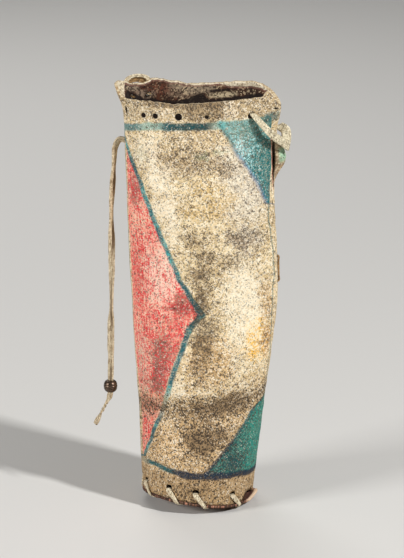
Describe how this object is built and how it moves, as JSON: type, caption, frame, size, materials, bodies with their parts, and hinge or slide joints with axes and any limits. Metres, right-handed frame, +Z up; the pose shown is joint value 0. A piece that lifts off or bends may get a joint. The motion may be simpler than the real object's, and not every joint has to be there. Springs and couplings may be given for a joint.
{
  "type": "rawhide case",
  "caption": "Painted rawhide case: a hide rolled into a tube, laced down its side and to a round base, pressed flat at its open mouth, with a beaded thong.",
  "frame": {"origin": "middle of the base's flat underside, on the ground", "axes": "+Z up along the tube from its base to its mouth, -Y towards the painted front, +X towards the laced side seam"},
  "size_m": [0.1744, 0.1047, 0.3924],
  "materials": {
    "painted_hide": "dry rawhide, cream with brown speckles, worn teal, navy and red paint on the front",
    "base_hide": "dry rawhide, darker and browner at its edge",
    "thong": "rawhide thong, cream to brown",
    "bead_metal": "tarnished brown, scored rings"
  },
  "bodies": {
    "root": {"hide_tube": "painted_hide", "base_disc": "base_hide", "base_lacing": "thong", "seam_lacing": "thong", "corner_tie": "thong", "rim_loop": "thong", "hanging_thong": "thong", "bead": "bead_metal"}
  },
  "joints": []
}
